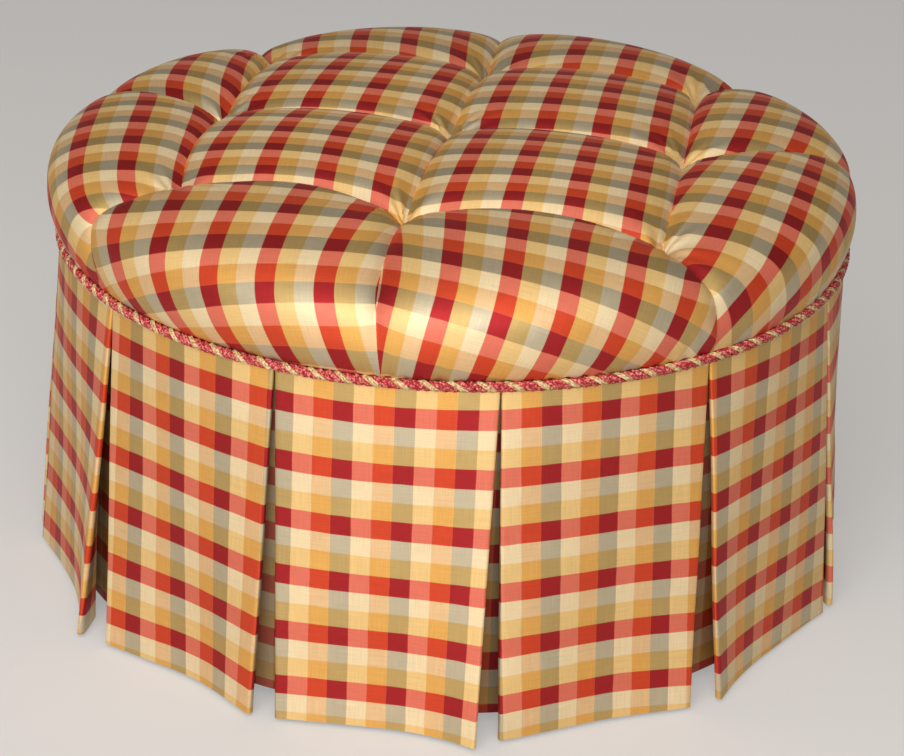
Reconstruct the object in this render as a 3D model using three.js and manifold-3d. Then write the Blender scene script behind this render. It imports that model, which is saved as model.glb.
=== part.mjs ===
// A round skirted tuffet: a deep tufted cushion on a round plywood frame, a twisted
// trim cord where cushion and skirt meet, and a kick pleated skirt of twelve lined
// panels that hides four low turned feet. Millimetres, +Z up, the origin on the floor
// under the middle. X runs along the rows of tufts and -Y is the front. Turns about
// Z are measured from the front towards +X.

import * as THREE from 'three';
import { mergeVertices } from 'three/addons/utils/BufferGeometryUtils.js';
import Module from 'manifold-3d';

const wasm = await Module();
wasm.setup();

const degree = Math.PI / 180;
const fullTurn = 2 * Math.PI;

// Fits and facets
const gap = 0.3;                    // clearance between two pieces that touch
const cutOverrun = 2;               // how far a cutting tool passes what it cuts
const ringSegments = 72;
const turnedSegments = 14;
const tieSegments = 8;
const holeSegments = 10;

// Frame
const deckRadius = 372;
const deckThickness = 18;
const hoopThickness = 6;
const hoopHeight = 227;
const lowerRingWidth = 76;
const lowerRingThickness = 18;
const postWidth = 38;
const postChamfer = 3;
const railOffset = 112;             // each rail from the middle, between two columns of tufts
const railThickness = 19;
const railDepth = 45;
const railSnipe = 12;               // sloped lower corner at each rail end
const dustCoverThickness = 0.8;
const dustCoverMargin = 6;

// Feet
const footSetback = 36;             // foot axis inside the deck edge
const footHeight = 74;
const footTopRadius = 26;
const footCollarRadius = 29;
const footCollarHeight = 9;
const footToeRadius = 17;
const boltRadius = 4;
const boltClearance = 0.4;
const boltDepth = 34;               // how far the bolt goes down into the foot
const boltTail = 8;                 // thread showing over the nut
const washerRadius = 11;
const washerThickness = 1.6;
const nutRadius = 7;
const nutHeight = 6.5;
const glideRadius = 12;
const glideHeight = 6;
const glideEdge = 1.5;
const nailRadius = 1.3;
const nailLength = 15;

// Cushion
const cushionHeight = 130;          // crown above the deck
const widestHeight = 46;            // widest level above the deck
const cushionOverhang = 13;         // how far the cushion swells past the trim
const crownSquareness = 2.7;        // 2 would be an ellipse, more is flatter on top
const underSharpness = 3;           // how late the flank turns in towards the trim
const coverThickness = 3;           // fabric with its padding wrap
const coverTurnDown = 11;           // how far the cover reaches below the deck top
const acrossPitch = 229;            // between tufts, left to right
const alongPitch = 212;             // between tufts, front to back
const tuftsPerRow = 3;
const tuftDepth = 50;
const tuftWander = 14;              // how far a tuft may sit off its place, set by hand
const tuftReach = 75;               // how far a tuft draws the foam down around it
const tuftPinch = 19;               // how far it draws in the cloth alone
const tuftReachShare = 0.8;         // part of the depth that goes with the foam
const valleyDepth = 22;             // between two tufts
const valleyBow = 28;               // how far a valley may bow out of its straight line
const sideValleyDepth = 32;         // the deepest of the valleys that run over the edge
const sideValleySharpness = 3;      // how late a side valley rises to the trim
const puffSink = 8;                 // how far the slackest outer puff lies below the crown
const domeReach = 65;               // how far a valley draws down the foam of a puff
const creaseReach = 11;             // how far it draws in the cloth alone
const domeShare = 0.72;             // part of the depth that goes with the foam
const puffShares = [0, 0.08, 0.25, 0.5, 0.75, 0.92];
const fallShares = [0.07, 0.2, 0.38, 0.56, 0.74, 0.88, 1];
const gridParts = 4;                // finer steps in each step while a puff is shaped
const shapingRounds = 300;
const overRelaxation = 1.75;
const crownSteps = 48;
const underSteps = 8;

// Each tuft as it was set, in rows from the front, left to right: across, along, depth
const tuftShares = [
  [0, 0, 1], [-0.5, -0.5, 1.06], [0.43, -0.5, 1],
  [-0.93, 0.21, 1], [-0.43, 0, 1], [0, 0, 1],
  [-0.86, -0.21, 1], [-0.43, -0.64, 1.06], [-0.5, 0.43, 0.96],
];

// The outer puffs and the valleys where they start, walked from the front middle
// towards +X: how far the valley beside the puff bows inwards, where the side valley
// meets the trim, how it sways on its way, its depth and the sink of the puff
const bowShares = [0.71, 0, 0, 0, 0, 0, -0.29, 1];
const valleyTurns = [1.5, 47.5, 101, 140, 183.5, 223, 260, 315].map((turn) => turn * degree);
const valleySways = [0, 0, 4, 0, 0, 0, -3, -4.5].map((turn) => turn * degree);
const sideDepthShares = [0.62, 0.62, 0.56, 0.81, 1, 0.81, 0.5, 0.62];
const sinkShares = [0, 1, 0.25, 0.5, 1, 0.25, 0, 0];

// Tuft ties
const foamHoleRadius = 11;
const tieHoleRadius = 4;
const twineRadius = 1.2;
const tieDiscRadius = 7;
const tieDiscThickness = 1.6;
const tieWasherRadius = 9;
const knotRadius = 3;

// Trim and tack strip
const trimDiameter = 10;
const trimSides = 8;
const lipThickness = 1.2;
const lipDepth = 15;
const tackStripThickness = 2;
const tackStripDepth = 13;

// Skirt
const panelCount = 12;
const firstPanelTurn = 2 * degree;
const panelThickness = 2;           // face cloth and lining
const pleatGap = 0.8;               // between two panels just under the trim
const returnWidth = 26;             // edge folded back behind the face
const foldDepthTop = 3.8;
const foldDepthHem = 13;
const panelFlare = 16;              // middle of a panel, hem against top
const cornerKick = 8;               // corners stand out past the middle at the hem
const hemTaper = 6;                 // each side edge swings in this far at the hem
const hemHeight = 4;
const panelShares = [-1, -0.66, -0.33, 0, 0.33, 0.66, 1];
const dropShares = [0, 0.15, 0.38, 0.62, 0.84, 1];
const backingThickness = 1.6;
const backingHalfWidth = 62;
const backingFlare = 7;
const backingLift = 9;              // backing hem above the panel hem
const backingShares = [-1, -0.5, 0, 0.5, 1];
const backingDropShares = [0, 0.5, 1];

// Levels, from the floor up
const footBottom = glideHeight + gap;
const footTop = footBottom + footHeight;
const dustCoverBottom = footTop + gap;
const lowerRingBottom = dustCoverBottom + dustCoverThickness + gap;
const lowerRingTop = lowerRingBottom + lowerRingThickness;
const hoopBottom = lowerRingTop + gap;
const hoopTop = hoopBottom + hoopHeight;
const deckBottom = hoopTop + gap;
const deckTop = deckBottom + deckThickness;
const trimLevel = deckTop;
const coverHem = deckTop - coverTurnDown;
const tackStripTop = coverHem - gap;
const skirtTop = trimLevel - trimDiameter / 2 - gap;

// Radii, from the frame out. A ring of flat facets is widened until it clears the
// round that it goes over.
const ringStep = fullTurn / ringSegments;
const puffCount = valleyTurns.length;
const columnsPerPuff = puffShares.length;
const valleyTurn = (k) => valleyTurns[k % puffCount] + fullTurn * Math.floor(k / puffCount);
const widestPuff = Math.max(...valleyTurns.map((turn, k) => valleyTurn(k + 1) - turn));
const widestStep = widestPuff * Math.max(
  ...puffShares.map((share, i) => (puffShares[i + 1] ?? 1) - share));
const facetOver = (radius, step) => (radius + gap) / Math.cos(step / 2);
const hoopInner = deckRadius - hoopThickness;
const lowerRingInner = deckRadius - lowerRingWidth;
const coverHemInner = facetOver(deckRadius, widestStep);
const coverHemOuter = coverHemInner + coverThickness;
const tackStripInner = facetOver(deckRadius, ringStep);
const lipInner = facetOver(coverHemOuter, ringStep);
const lipOuter = lipInner + lipThickness;
const backingStep = backingHalfWidth / deckRadius / 2;
const backingInner = facetOver(lipOuter, backingStep);
const panelStep = fullTurn / panelCount / (panelShares.length - 1);
const returnMiddle = facetOver(backingInner + backingThickness, panelStep) + panelThickness / 2;
const panelTop = returnMiddle + foldDepthTop;
const trimRadius = panelTop + panelThickness / 2;
const cushionRadius = trimRadius + cushionOverhang;
const neckRadius = (trimRadius - trimDiameter / 2) * Math.cos(ringStep / 2) - gap;

// Colours of the finished surfaces
const cottons = { silk: '#c2703c', lining: '#c9b184', rope: '#a8344a' };
const woods = { ply: '#c9a36a', pine: '#d8b67c', foot: '#4a2e1d' };
const plain = { steel: '#b9bcc0', glide: '#3a3835', foam: '#efe6c8', twine: '#d9cfae' };

function finish(color, roughness, metalness = 0) {
  return new THREE.MeshStandardMaterial({ color, roughness, metalness });
}

const tuffet = new THREE.Group();

function add(name, geometry, material) {
  const mesh = new THREE.Mesh(geometry, material);
  mesh.name = name;
  tuffet.add(mesh);
  return mesh;
}

// A point at a turn about Z, a radius and a level
function polar(turn, radius, level) {
  return new THREE.Vector3(radius * Math.sin(turn), -radius * Math.cos(turn), level);
}

// A closed body from points and triangles, turned so that its faces point out
function closedBody(points, triangles) {
  let volume = 0;
  for (const [a, b, c] of triangles) {
    volume += points[a].dot(points[b].clone().cross(points[c]));
  }
  const outward = volume > 0 ? triangles : triangles.map(([a, b, c]) => [a, c, b]);
  const geometry = new THREE.BufferGeometry().setFromPoints(points);
  geometry.setIndex(outward.flat());
  geometry.computeVertexNormals();
  return geometry;
}

function splitQuad([a, b, c, d]) {
  return [[a, b, c], [a, c, d]];
}

// A sheet with thickness, between two grids of points of the same size
function thickSheet(outer, inner) {
  const rows = outer.length;
  const columns = outer[0].length;
  const front = (row, column) => row * columns + column;
  const back = (row, column) => (rows + row) * columns + column;
  const quads = [];
  for (let i = 0; i < rows - 1; i++) {
    for (let j = 0; j < columns - 1; j++) {
      quads.push([front(i, j), front(i + 1, j), front(i + 1, j + 1), front(i, j + 1)]);
      quads.push([back(i, j), back(i, j + 1), back(i + 1, j + 1), back(i + 1, j)]);
    }
    const last = columns - 1;
    quads.push([front(i, 0), back(i, 0), back(i + 1, 0), front(i + 1, 0)]);
    quads.push([front(i, last), front(i + 1, last), back(i + 1, last), back(i, last)]);
  }
  for (let j = 0; j < columns - 1; j++) {
    const last = rows - 1;
    quads.push([front(0, j), front(0, j + 1), back(0, j + 1), back(0, j)]);
    quads.push([front(last, j), back(last, j), back(last, j + 1), front(last, j + 1)]);
  }
  return closedBody([...outer.flat(), ...inner.flat()], quads.flatMap(splitQuad));
}

// A body of revolution about Z, its profile in pairs of radius and level
function turned(profile, segments, x = 0, y = 0) {
  const points = profile.map(([radius, level]) => new THREE.Vector2(radius, level));
  const geometry = new THREE.LatheGeometry(points, segments);
  geometry.rotateX(Math.PI / 2);
  geometry.translate(x, y, 0);
  return geometry;
}

function circle(radius, count, x = 0, y = 0) {
  return Array.from({ length: count }, (_, i) => new THREE.Vector2(
    x + radius * Math.cos(fullTurn * i / count), y + radius * Math.sin(fullTurn * i / count)));
}

// A flat plate of an outline with holes, lying between two levels
function plate(outline, holes, bottom, thickness) {
  const shape = new THREE.Shape(outline);
  shape.holes = holes.map((points) => new THREE.Path(points));
  const geometry = new THREE.ExtrudeGeometry(shape, { depth: thickness, bevelEnabled: false });
  geometry.translate(0, 0, bottom);
  return geometry;
}

function toSolid(geometry) {
  const bare = geometry.clone();
  bare.deleteAttribute('normal');
  bare.deleteAttribute('uv');
  const merged = mergeVertices(bare);
  return new wasm.Manifold(new wasm.Mesh({
    numProp: 3,
    vertProperties: Float32Array.from(merged.attributes.position.array),
    triVerts: Uint32Array.from(merged.index.array),
  }));
}

function toGeometry(solid) {
  const mesh = solid.getMesh();
  const geometry = new THREE.BufferGeometry();
  const positions = new THREE.BufferAttribute(Float32Array.from(mesh.vertProperties), mesh.numProp);
  geometry.setAttribute('position', positions);
  geometry.setIndex(Array.from(mesh.triVerts));
  geometry.computeVertexNormals();
  return geometry;
}

// Cushion form. The crown profile is a flattened ellipse down to the widest level,
// then an inward curve to the neck behind the trim, then a turn down over the deck
// edge. It is measured by its run, the length along it from the middle of the top.
function crownProfile() {
  const widestLevel = deckTop + widestHeight;
  const rise = cushionHeight - widestHeight;
  const power = 2 / crownSquareness;
  const neckLevel = trimLevel + trimDiameter / 2;
  const points = [];
  for (let i = 0; i <= crownSteps; i++) {
    const sweep = Math.PI / 2 * i / crownSteps;
    points.push(new THREE.Vector2(
      cushionRadius * Math.sin(sweep) ** power,
      widestLevel + rise * Math.max(0, Math.cos(sweep)) ** power));
  }
  for (let i = 1; i <= underSteps; i++) {
    const drop = i / underSteps;
    points.push(new THREE.Vector2(
      cushionRadius - (cushionRadius - neckRadius) * drop ** underSharpness,
      widestLevel - (widestLevel - neckLevel) * drop));
  }
  points.push(new THREE.Vector2(coverHemOuter, deckTop));
  points.push(new THREE.Vector2(coverHemOuter, coverHem));
  return points;
}

const crown = crownProfile();
const crownRuns = crown.map(() => 0);
for (let i = 1; i < crown.length; i++) {
  crownRuns[i] = crownRuns[i - 1] + crown[i].distanceTo(crown[i - 1]);
}
const hemRun = crownRuns.at(-1);
const deckRun = crownRuns.at(-2);
const neckRun = crownRuns.at(-3);

// The outward direction of the profile at one of its points
function crownNormal(i) {
  const before = crown[Math.max(i - 1, 0)];
  const after = crown[Math.min(i + 1, crown.length - 1)];
  const along = after.clone().sub(before).normalize();
  return i === 0 ? new THREE.Vector2(0, 1) : new THREE.Vector2(-along.y, along.x);
}

function crownPoint(turn, run, sunk) {
  let i = crownRuns.findIndex((value) => value >= run);
  i = Math.max(1, i < 0 ? crown.length - 1 : i);
  const share = Math.min(1, (run - crownRuns[i - 1]) / (crownRuns[i] - crownRuns[i - 1]));
  const base = crown[i - 1].clone().lerp(crown[i], share);
  const out = crownNormal(i - 1).lerp(crownNormal(i), share).normalize();
  return polar(turn, base.x - sunk * out.x, base.y - sunk * out.y);
}

// The nine tufts, each with its place and its depth below the crown
const tufts = tuftShares.map(([acrossShare, alongShare, depthShare], i) => ({
  x: (i % tuftsPerRow - 1) * acrossPitch + acrossShare * tuftWander,
  y: (Math.floor(i / tuftsPerRow) - 1) * alongPitch + alongShare * tuftWander,
  depth: depthShare * tuftDepth,
}));

// Where a point of the plan stands on the crown
function crownSpot(x, y) {
  return { turn: Math.atan2(x, -y), run: Math.hypot(x, y) };
}

// The outer tufts, walked round in the order of the valleys that start at them
const middleTuft = (tufts.length - 1) / 2;
const walked = (i) => {
  const { turn } = crownSpot(tufts[i].x, tufts[i].y);
  return (turn + fullTurn + fullTurn / puffCount / 2) % fullTurn;
};
const outerTufts = tufts.map((_, i) => i).filter((i) => i !== middleTuft)
  .sort((a, b) => walked(a) - walked(b));

// How far a valley from tuft to tuft bows to its left, seen from either end
function bowBetween(start, end) {
  const from = outerTufts.indexOf(start);
  const to = outerTufts.indexOf(end);
  if (from < 0 || to < 0) return 0;
  return (from + 1) % puffCount === to ? valleyBow * bowShares[from] : -valleyBow * bowShares[to];
}

// The line of a valley from tuft to tuft, in plan
function valleyLine(start, end, share) {
  const from = tufts[start];
  const to = tufts[end];
  const across = to.x - from.x;
  const along = to.y - from.y;
  const aside = bowBetween(start, end) * Math.sin(Math.PI * share) / Math.hypot(across, along);
  const x = from.x + across * share - along * aside;
  const y = from.y + along * share + across * aside;
  return new THREE.Vector2(x, y);
}

// What is left of the pull of a tuft, with the foam and with the cloth alone
function tuftPull(fade) {
  return tuftReachShare * fade(tuftReach) + (1 - tuftReachShare) * fade(tuftPinch);
}

// The floor of a valley from tuft to tuft
function valleyFloor(start, end, share) {
  const from = tufts[start];
  const to = tufts[end];
  const half = Math.hypot(to.x - from.x, to.y - from.y) / 2;
  const tuft = from.depth + (to.depth - from.depth) * share;
  const pull = tuftPull((reach) => Math.cosh((2 * share - 1) * half / reach) / Math.cosh(half / reach));
  return valleyDepth + (tuft - valleyDepth) * pull;
}

// The floor of a side valley from its tuft over the edge to the trim
function sideValleyFloor(k, fall) {
  const tuft = tufts[outerTufts[k % puffCount]];
  const depth = sideValleyDepth * sideDepthShares[k % puffCount];
  const length = neckRun - Math.hypot(tuft.x, tuft.y);
  const pull = tuftPull((reach) => Math.exp(-fall * length / reach)) * (1 - fall);
  return depth * (1 - fall ** sideValleySharpness) + (tuft.depth - depth) * pull;
}

// Depths inside a rim of depths, as foam under taut cloth takes them: the pull of the
// rim fades over a reach towards a rest depth. Swept in place until it settles.
function settled(rim, points, reach, rest) {
  const depth = rim.map((line) => [...line]);
  const lastRow = rim.length - 1;
  const lastColumn = rim[0].length - 1;
  const cells = [];
  for (let i = 1; i < lastRow; i++) {
    for (let j = 1; j < lastColumn; j++) {
      const sides = [[[i - 1, j], [i + 1, j]], [[i, j - 1], [i, j + 1]]];
      const pulls = sides.flatMap((pair) => {
        const steps = pair.map(([row, column]) => points[i][j].distanceTo(points[row][column]));
        return pair.map(([row, column], k) => [row, column, 2 / steps[k] / (steps[0] + steps[1])]);
      });
      const total = pulls.reduce((sum, [, , weight]) => sum + weight, 1 / reach ** 2);
      cells.push([i, j, pulls, total]);
    }
  }
  for (let round = 0; round < shapingRounds; round++) {
    for (const [i, j, pulls, total] of cells) {
      let sum = rest / reach ** 2;
      for (const [row, column, weight] of pulls) sum += weight * depth[row][column];
      depth[i][j] += overRelaxation * (sum / total - depth[i][j]);
    }
  }
  return depth;
}

function finer(shares) {
  const parts = Array.from({ length: gridParts }, (_, part) => part / gridParts);
  const steps = shares.slice(0, -1).flatMap(
    (share, i) => parts.map((part) => share + (shares[i + 1] - share) * part));
  return [...steps, shares.at(-1)];
}

// A puff as a grid of spots on the crown and their depths. It is shaped on finer steps
// than the ones that it keeps.
function shapedPuff(alongShares, spotAt, rimDepth, rest) {
  const across = finer([...puffShares, 1]);
  const along = finer(alongShares);
  const spots = across.map((a) => along.map((b) => spotAt(a, b)));
  const points = spots.map((line) => line.map(({ turn, run }) => crownPoint(turn, run, 0)));
  const rim = across.map((a) => along.map((b) => (a * b * (1 - a) * (1 - b) > 0 ? rest : rimDepth(a, b))));
  const dome = settled(rim, points, domeReach, rest);
  const crease = settled(rim, points, creaseReach, rest);
  const depth = (i, j) => domeShare * dome[i][j] + (1 - domeShare) * crease[i][j];
  return spots.map((line, i) => line.map((spot, j) => ({ ...spot, depth: depth(i, j) }))
    .filter((_, j) => j % gridParts === 0)).filter((_, i) => i % gridParts === 0);
}

// One of the four puffs inside the square of tufts, named by its front left tuft. Its
// plan is stretched between its four valleys.
function innerPuff(first) {
  const right = first + 1;
  const back = first + tuftsPerRow;
  const far = back + 1;
  const spotAt = (a, b) => {
    const front = valleyLine(first, right, a).lerp(valleyLine(back, far, a), b);
    const side = valleyLine(first, back, b).lerp(valleyLine(right, far, b), a);
    const corners = valleyLine(first, right, 0).lerp(valleyLine(first, right, 1), a)
      .lerp(valleyLine(back, far, 0).lerp(valleyLine(back, far, 1), a), b);
    const { x, y } = front.add(side).sub(corners);
    return crownSpot(x, y);
  };
  const rimDepth = (a, b) => {
    if (b === 0) return valleyFloor(first, right, a);
    if (b === 1) return valleyFloor(back, far, a);
    return a === 0 ? valleyFloor(first, back, b) : valleyFloor(right, far, b);
  };
  return shapedPuff([...puffShares, 1], spotAt, rimDepth, 0);
}

// One of the eight puffs that fall from the valley between two outer tufts over the
// edge to the trim
function outerPuff(k) {
  const start = outerTufts[k];
  const end = outerTufts[(k + 1) % puffCount];
  const sway = (a) => valleySways[k] + (valleySways[(k + 1) % puffCount] - valleySways[k]) * a;
  const spotAt = (a, fall) => {
    const { x, y } = valleyLine(start, end, a);
    const { turn: raw, run } = crownSpot(x, y);
    const endTurn = outerTurn(k, a);
    const startTurn = raw + fullTurn * Math.round((endTurn - raw) / fullTurn);
    const turn = startTurn + (endTurn - startTurn) * fall + sway(a) * Math.sin(Math.PI * fall);
    return { turn, run: run + (neckRun - run) * fall };
  };
  const rimDepth = (a, fall) => {
    if (fall === 0) return valleyFloor(start, end, a);
    if (fall === 1) return 0;
    return a === 0 ? sideValleyFloor(k, fall) : sideValleyFloor(k + 1, fall);
  };
  return shapedPuff([0, ...fallShares], spotAt, rimDepth, puffSink * sinkShares[k]);
}

// Where a share of an outer puff meets the trim
function outerTurn(k, share) {
  return valleyTurn(k) + (valleyTurn(k + 1) - valleyTurn(k)) * share;
}

const innerPuffs = [[0, 1], [tuftsPerRow, tuftsPerRow + 1]].map((row) => row.map(innerPuff));
const outerPuffs = outerTufts.map((_, k) => outerPuff(k));

// The cushion surface, sunk by a layer: a square of four puffs inside a ring of eight.
// Gives its points, its quads and the points of its open rim.
function cushionSkin(layer, withHem) {
  const cells = 2 * columnsPerPuff;
  const half = columnsPerPuff;
  const points = [];
  const quads = [];
  for (let j = 0; j <= cells; j++) {
    for (let i = 0; i <= cells; i++) {
      const column = i < half ? 0 : 1;
      const row = j < half ? 0 : 1;
      const { turn, run, depth } = innerPuffs[row][column][i - column * half][j - row * half];
      points.push(crownPoint(turn, run, layer + depth));
    }
  }
  const inside = (i, j) => j * (cells + 1) + i;
  for (let j = 0; j < cells; j++) {
    for (let i = 0; i < cells; i++) {
      quads.push([inside(i, j), inside(i + 1, j), inside(i + 1, j + 1), inside(i, j + 1)]);
    }
  }
  let rim = [];
  for (let i = half; i < cells; i++) rim.push(inside(i, 0));
  for (let j = 0; j < cells; j++) rim.push(inside(cells, j));
  for (let i = cells; i > 0; i--) rim.push(inside(i, cells));
  for (let j = cells; j > 0; j--) rim.push(inside(0, j));
  for (let i = 0; i < half; i++) rim.push(inside(i, 0));
  const tailRuns = withHem ? [deckRun, hemRun] : [deckRun];
  for (let row = 1; row <= fallShares.length + tailRuns.length; row++) {
    const next = rim.map((_, i) => {
      const k = Math.floor(i / columnsPerPuff);
      const column = i % columnsPerPuff;
      const tail = { turn: outerTurn(k, puffShares[column]), run: tailRuns[row - fallShares.length - 1] };
      const { turn, run, depth = 0 } = outerPuffs[k][column][row] ?? tail;
      points.push(crownPoint(turn, run, layer + depth));
      return points.length - 1;
    });
    rim.forEach((here, i) => {
      const beside = (i + 1) % rim.length;
      quads.push([here, next[i], next[beside], rim[beside]]);
    });
    rim = next;
  }
  return { points, quads, rim };
}

// The lowest point of the cover at a tuft, on its underside
function tuftTip({ x, y, depth }) {
  const { turn, run } = crownSpot(x, y);
  return crownPoint(turn, run, depth + coverThickness);
}

function coverGeometry() {
  const outer = cushionSkin(0, true);
  const inner = cushionSkin(coverThickness, true);
  const shift = outer.points.length;
  const quads = [...outer.quads];
  inner.quads.forEach((quad) => {
    const [a, b, c, d] = quad.map((i) => i + shift);
    quads.push([a, d, c, b]);
  });
  outer.rim.forEach((here, k) => {
    const beside = (k + 1) % outer.rim.length;
    quads.push([here, inner.rim[k] + shift, inner.rim[beside] + shift, outer.rim[beside]]);
  });
  return closedBody([...outer.points, ...inner.points], quads.flatMap(splitQuad));
}

// Foam with its top shaped by the tufting and a punched hole under each tuft
function foamGeometry() {
  const bottom = deckTop + gap;
  const skin = cushionSkin(coverThickness + gap, false);
  const footing = (deckRadius - coverThickness) / coverHemInner;
  skin.rim.forEach((i) => {
    const { x, y } = skin.points[i];
    skin.points[i].set(x * footing, y * footing, bottom);
  });
  const triangles = skin.quads.flatMap(splitQuad);
  skin.points.push(new THREE.Vector3(0, 0, bottom));
  const middle = skin.points.length - 1;
  skin.rim.forEach((here, k) => {
    triangles.push([here, middle, skin.rim[(k + 1) % skin.rim.length]]);
  });
  let solid = toSolid(closedBody(skin.points, triangles));
  const height = cushionHeight + 2 * cutOverrun;
  for (const tuft of tufts) {
    const tip = tuftTip(tuft);
    const drill = new THREE.CylinderGeometry(foamHoleRadius, foamHoleRadius, height, holeSegments);
    drill.rotateX(Math.PI / 2);
    drill.translate(tip.x, tip.y, deckTop - cutOverrun + height / 2);
    solid = solid.subtract(toSolid(drill));
  }
  return toGeometry(solid);
}

// A tie: a disc that holds the cover down, twine through foam and deck, and a washer
// with its knot under the deck
function tieGeometry(tuft) {
  const tip = tuftTip(tuft);
  const top = tip.z - gap;
  const washerTop = deckBottom - gap;
  const washerBottom = washerTop - tieDiscThickness;
  return turned([
    [0, washerBottom - 2 * knotRadius],
    [knotRadius, washerBottom - knotRadius],
    [twineRadius, washerBottom],
    [tieWasherRadius, washerBottom],
    [tieWasherRadius, washerTop],
    [twineRadius, washerTop],
    [twineRadius, top - tieDiscThickness],
    [tieDiscRadius, top - tieDiscThickness],
    [tieDiscRadius, top],
    [0, top],
  ], tieSegments, tip.x, tip.y);
}

function deckGeometry() {
  const holes = tufts.map((tuft) => {
    const tip = tuftTip(tuft);
    return circle(tieHoleRadius, holeSegments, tip.x, tip.y);
  });
  return plate(circle(deckRadius, ringSegments), holes, deckBottom, deckThickness);
}

function ringOf(inner, outer, bottom, top) {
  return turned([
    [inner, bottom], [outer, bottom], [outer, top], [inner, top], [inner, bottom],
  ], ringSegments);
}

// The trim cord with the woven lip that is stapled behind the skirt
function trimGeometry() {
  const radius = trimDiameter / 2;
  const corner = (k) => {
    const turn = fullTurn * (k + 1 / 2) / trimSides;
    return [trimRadius + radius * Math.cos(turn), trimLevel + radius * Math.sin(turn)];
  };
  const profile = Array.from({ length: trimSides }, (_, k) => corner(k));
  const joint = trimSides / 2;
  const upper = corner(joint);
  const lower = corner(joint + 1);
  const share = lipThickness / (upper[1] - lower[1]);
  const seam = [upper[0] + (lower[0] - upper[0]) * share, upper[1] - lipThickness];
  profile.splice(joint + 1, 0,
    [lipInner, upper[1]],
    [lipInner, upper[1] - lipDepth],
    [lipOuter, upper[1] - lipDepth],
    [lipOuter, seam[1]],
    seam);
  profile.push(corner(0));
  return turned(profile, ringSegments);
}

// The foot circle and where it stands
const footRadius = deckRadius - footSetback;
const footPlaces = [1, 3, 5, 7].map((eighth) => polar(eighth * fullTurn / 8, footRadius, 0));

function footGeometry({ x, y }) {
  const bore = boltRadius + boltClearance;
  const nailBore = nailRadius + boltClearance;
  const nailBoreTop = footBottom + nailLength + gap;
  const boreBottom = footTop - boltDepth - gap;
  return turned([
    [0, nailBoreTop],
    [nailBore, nailBoreTop],
    [nailBore, footBottom],
    [footToeRadius, footBottom],
    [footTopRadius, footTop - footCollarHeight],
    [footCollarRadius, footTop - footCollarHeight],
    [footCollarRadius, footTop],
    [bore, footTop],
    [bore, boreBottom],
    [0, boreBottom],
  ], turnedSegments, x, y);
}

function glideGeometry({ x, y }) {
  return turned([
    [0, 0],
    [glideRadius - glideEdge, 0],
    [glideRadius, glideEdge],
    [glideRadius, glideHeight - glideEdge],
    [glideRadius - glideEdge, glideHeight],
    [nailRadius, glideHeight],
    [nailRadius, glideHeight + nailLength - nailRadius],
    [0, glideHeight + nailLength],
  ], turnedSegments, x, y);
}

function boltGeometry({ x, y }) {
  const seat = lowerRingTop + gap;
  const nutBottom = seat + washerThickness;
  const nutTop = nutBottom + nutHeight;
  return turned([
    [0, footTop - boltDepth],
    [boltRadius, footTop - boltDepth],
    [boltRadius, seat],
    [washerRadius, seat],
    [washerRadius, nutBottom],
    [nutRadius, nutBottom],
    [nutRadius, nutTop],
    [boltRadius, nutTop],
    [boltRadius, nutTop + boltTail],
    [0, nutTop + boltTail],
  ], turnedSegments, x, y);
}

function boltHoles() {
  return footPlaces.map(({ x, y }) => circle(boltRadius + boltClearance, holeSegments, x, y));
}

function lowerRingGeometry() {
  const holes = [circle(lowerRingInner, ringSegments), ...boltHoles()];
  return plate(circle(deckRadius, ringSegments), holes, lowerRingBottom, lowerRingThickness);
}

function dustCoverGeometry() {
  const outline = circle(deckRadius - dustCoverMargin, ringSegments);
  return plate(outline, boltHoles(), dustCoverBottom, dustCoverThickness);
}

// A post stands between lower ring and deck with its back against the hoop
function postGeometry(turn) {
  const half = postWidth / 2;
  const flat = half - postChamfer;
  const outline = [
    [-flat, -half], [flat, -half], [half, -flat], [half, flat],
    [flat, half], [-flat, half], [-half, flat], [-half, -flat],
  ].map(([x, y]) => new THREE.Vector2(x, y));
  const reach = hoopInner * Math.cos(ringStep / 2) - gap;
  const back = Math.sqrt(reach ** 2 - flat ** 2);
  const geometry = plate(outline, [], hoopBottom, hoopHeight);
  geometry.translate(0, half - back, 0);
  geometry.rotateZ(turn);
  return geometry;
}

// A rail under the deck runs front to back from hoop to hoop
function railGeometry(side) {
  const reach = hoopInner * Math.cos(ringStep / 2) - gap;
  const half = Math.sqrt(reach ** 2 - (railOffset + railThickness / 2) ** 2);
  const outline = [
    [-half, 0], [-half, railSnipe - railDepth], [railSnipe - half, -railDepth],
    [half - railSnipe, -railDepth], [half, railSnipe - railDepth], [half, 0],
  ].map(([x, y]) => new THREE.Vector2(x, y));
  const geometry = plate(outline, [], 0, railThickness);
  geometry.translate(0, 0, -railThickness / 2);
  geometry.rotateX(Math.PI / 2);
  geometry.rotateZ(Math.PI / 2);
  geometry.translate(side * railOffset, 0, deckBottom - gap);
  return geometry;
}

// Skirt forms are drawn with x across the panel and y out from the axis of the tuffet,
// then turned to their place. At the top a point follows the round, and towards the hem
// it goes over to a nearly straight, narrower run whose corners kick out.
function skirtPoint(across, depth, drop, halfWidth, radius, flare, kick) {
  const turn = across / radius;
  const share = Math.min(1, Math.abs(across) / halfWidth);
  const round = new THREE.Vector2(Math.sin(turn), Math.cos(turn)).multiplyScalar(radius - depth);
  const narrowed = across * (1 - hemTaper / halfWidth);
  const straight = new THREE.Vector2(narrowed, radius + flare + kick * share ** 2 - depth);
  return round.lerp(straight, drop);
}

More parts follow.
